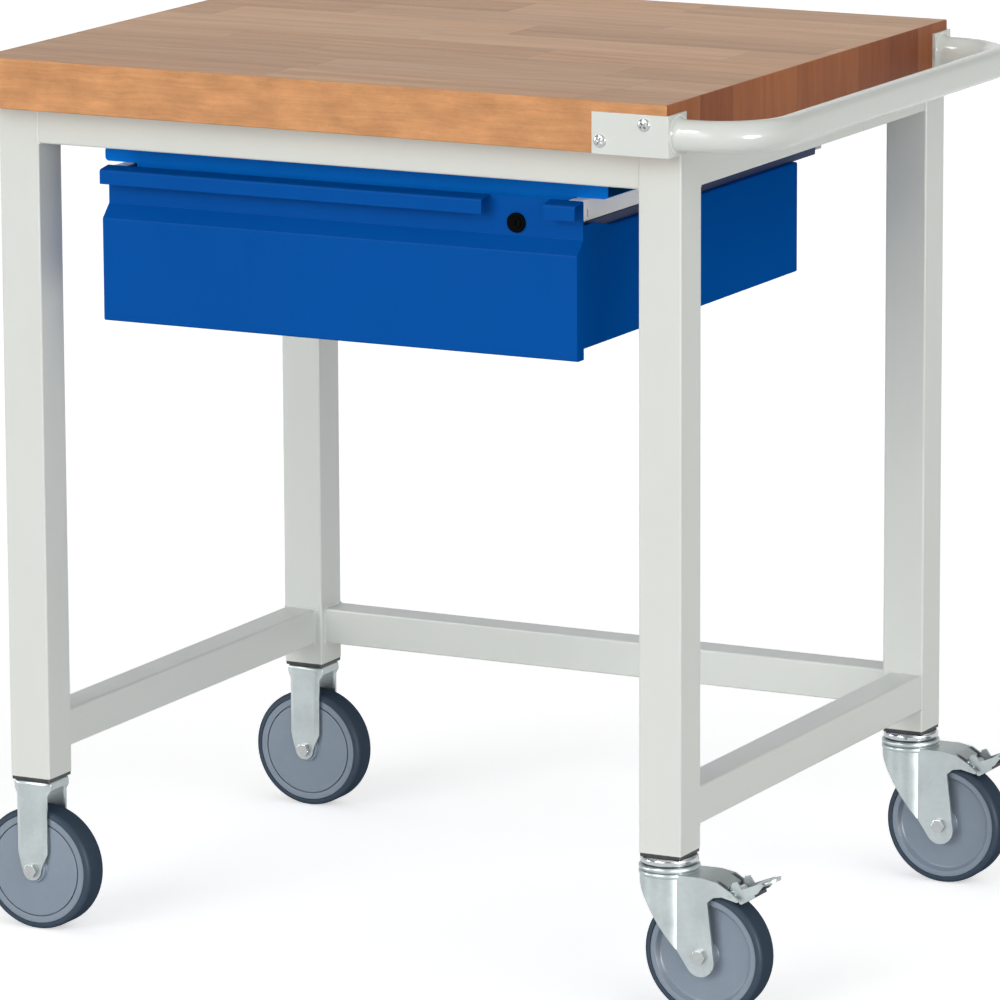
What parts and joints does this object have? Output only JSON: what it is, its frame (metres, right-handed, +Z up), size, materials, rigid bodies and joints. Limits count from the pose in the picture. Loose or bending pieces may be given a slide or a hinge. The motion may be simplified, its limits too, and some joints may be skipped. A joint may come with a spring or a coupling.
{
  "type": "mobile workbench",
  "caption": "Mobile workbench: beech top on a square-tube frame, a lockable sheet-metal drawer, a push handle at one end, fixed casters and braked swivel casters.",
  "frame": {"origin": "middle of the bench's box, on the floor", "axes": "+X towards the push handle, +Y from the drawer front to the rear, +Z up"},
  "size_m": [0.888, 0.6635, 0.89],
  "materials": {
    "frame_paint": "semi-gloss powder coat",
    "handle_paint": "semi-gloss powder coat",
    "beech": "oiled, edge-glued staves",
    "screw_zinc": "zinc plated",
    "cap_black": "moulded",
    "drawer_blue": "satin powder coat",
    "guide_grey": "satin",
    "stop_plastic": "moulded",
    "lock_black": "moulded",
    "lock_steel": "zinc plated",
    "fork_zinc": "zinc plated sheet",
    "race_steel": "bright zinc",
    "rim_plastic": "moulded",
    "tyre_rubber": "smooth thermoplastic rubber",
    "pedal_zinc": "zinc plated sheet"
  },
  "bodies": {
    "frame": {"leg_front_left": "frame_paint", "leg_front_right": "frame_paint", "leg_rear_left": "frame_paint", "leg_rear_right": "frame_paint", "rail_upper_front": "frame_paint", "rail_upper_rear": "frame_paint", "rail_upper_left": "frame_paint", "rail_upper_right": "frame_paint", "rail_lower_left": "frame_paint", "rail_lower_right": "frame_paint", "rail_lower_rear": "frame_paint", "handle_tube": "handle_paint", "handle_bracket_front": "handle_paint", "handle_bracket_rear": "handle_paint", "worktop": "beech", "worktop_screws": "screw_zinc", "bracket_screws": "screw_zinc", "hanger_screws": "screw_zinc", "cover_rivets": "screw_zinc", "stem_bolts": "screw_zinc", "fixed_axle_bolts": "screw_zinc", "fixed_axle_nuts": "screw_zinc", "foot_caps": "cap_black", "drawer_cover": "drawer_blue", "guide_rail_left": "guide_grey", "guide_rail_right": "guide_grey", "cover_hanger_front": "guide_grey", "cover_hanger_rear": "guide_grey", "guide_stops": "stop_plastic", "fixed_fork_front": "fork_zinc", "fixed_fork_rear": "fork_zinc", "swivel_race_front": "race_steel", "swivel_race_rear": "race_steel"},
    "drawer": {"drawer_tray": "drawer_blue", "drawer_front": "drawer_blue", "drawer_runner_left": "drawer_blue", "drawer_runner_right": "drawer_blue", "runner_rivets": "screw_zinc", "lock_body": "lock_black", "lock_nut": "lock_steel"},
    "lock": {"lock_plug": "lock_black", "lock_cam": "lock_steel"},
    "fixed_wheel_front": {"fixed_wheel_front": "rim_plastic", "fixed_tyre_front": "tyre_rubber"},
    "swivel_front": {"swivel_fork_front": "fork_zinc", "swivel_axle_bolt_front": "screw_zinc", "swivel_axle_nut_front": "screw_zinc", "pedal_pin_front": "screw_zinc"},
    "swivel_wheel_front": {"swivel_wheel_front": "rim_plastic", "swivel_tyre_front": "tyre_rubber"},
    "pedal_front": {"brake_pedal_front": "pedal_zinc"},
    "fixed_wheel_rear": {"fixed_wheel_rear": "rim_plastic", "fixed_tyre_rear": "tyre_rubber"},
    "swivel_rear": {"swivel_fork_rear": "fork_zinc", "swivel_axle_bolt_rear": "screw_zinc", "swivel_axle_nut_rear": "screw_zinc", "pedal_pin_rear": "screw_zinc"},
    "swivel_wheel_rear": {"swivel_wheel_rear": "rim_plastic", "swivel_tyre_rear": "tyre_rubber"},
    "pedal_rear": {"brake_pedal_rear": "pedal_zinc"}
  },
  "joints": [
    {"name": "drawer_slide", "type": "slide", "parent": "frame", "child": "drawer", "axis": [0, -1, 0], "range_m": [0, 0.4]},
    {"name": "lock_turn", "type": "hinge", "parent": "drawer", "child": "lock", "pos_m": [0.1585, -0.27075, 0.758], "axis": [0, 1, 0], "range_deg": [0, 90]},
    {"name": "fixed_wheel_spin_front", "type": "hinge", "parent": "frame", "child": "fixed_wheel_front", "pos_m": [-0.3815, -0.26825, 0.0625], "axis": [0, 1, 0], "continuous": true},
    {"name": "swivel_turn_front", "type": "hinge", "parent": "frame", "child": "swivel_front", "pos_m": [0.3195, -0.26825, 0.15], "axis": [0, 0, 1], "continuous": true},
    {"name": "swivel_wheel_spin_front", "type": "hinge", "parent": "swivel_front", "child": "swivel_wheel_front", "pos_m": [0.362, -0.26825, 0.0625], "axis": [0, 1, 0], "continuous": true},
    {"name": "pedal_press_front", "type": "hinge", "parent": "swivel_front", "child": "pedal_front", "pos_m": [0.3935, -0.26825, 0.1256], "axis": [0, 1, 0], "range_deg": [0, 20]},
    {"name": "fixed_wheel_spin_rear", "type": "hinge", "parent": "frame", "child": "fixed_wheel_rear", "pos_m": [-0.3815, 0.30175, 0.0625], "axis": [0, 1, 0], "continuous": true},
    {"name": "swivel_turn_rear", "type": "hinge", "parent": "frame", "child": "swivel_rear", "pos_m": [0.3195, 0.30175, 0.15], "axis": [0, 0, 1], "continuous": true},
    {"name": "swivel_wheel_spin_rear", "type": "hinge", "parent": "swivel_rear", "child": "swivel_wheel_rear", "pos_m": [0.362, 0.30175, 0.0625], "axis": [0, 1, 0], "continuous": true},
    {"name": "pedal_press_rear", "type": "hinge", "parent": "swivel_rear", "child": "pedal_rear", "pos_m": [0.3935, 0.30175, 0.1256], "axis": [0, 1, 0], "range_deg": [0, 20]}
  ]
}
